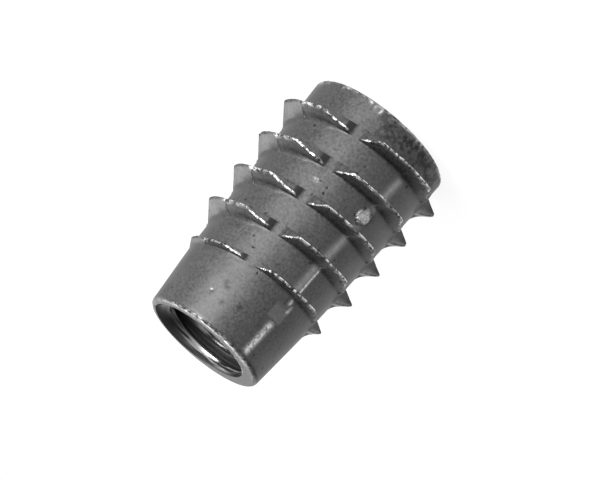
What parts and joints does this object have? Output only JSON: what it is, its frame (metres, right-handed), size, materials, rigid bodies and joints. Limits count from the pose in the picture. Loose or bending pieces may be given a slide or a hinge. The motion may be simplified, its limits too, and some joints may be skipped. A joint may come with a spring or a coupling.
{
  "type": "wood threaded insert",
  "caption": "Die-cast sleeve with a coarse interrupted outer thread for wood, a tapered plain nose, a threaded bore for a bolt and a hexagon socket in the driven end.",
  "frame": {"origin": "middle of the driven end, on the surface that the insert stands on", "axes": "+Z along the insert's axis, from the driven end to the nose; +X and +Y through two of the bare strips between the thread ridges"},
  "size_m": [0.0097, 0.0097, 0.015],
  "materials": {
    "cast_zinc": "bare die-cast zinc, grey and satin, tumbled brighter on the crests"
  },
  "bodies": {
    "root": {"insert_body": "cast_zinc"}
  },
  "joints": []
}
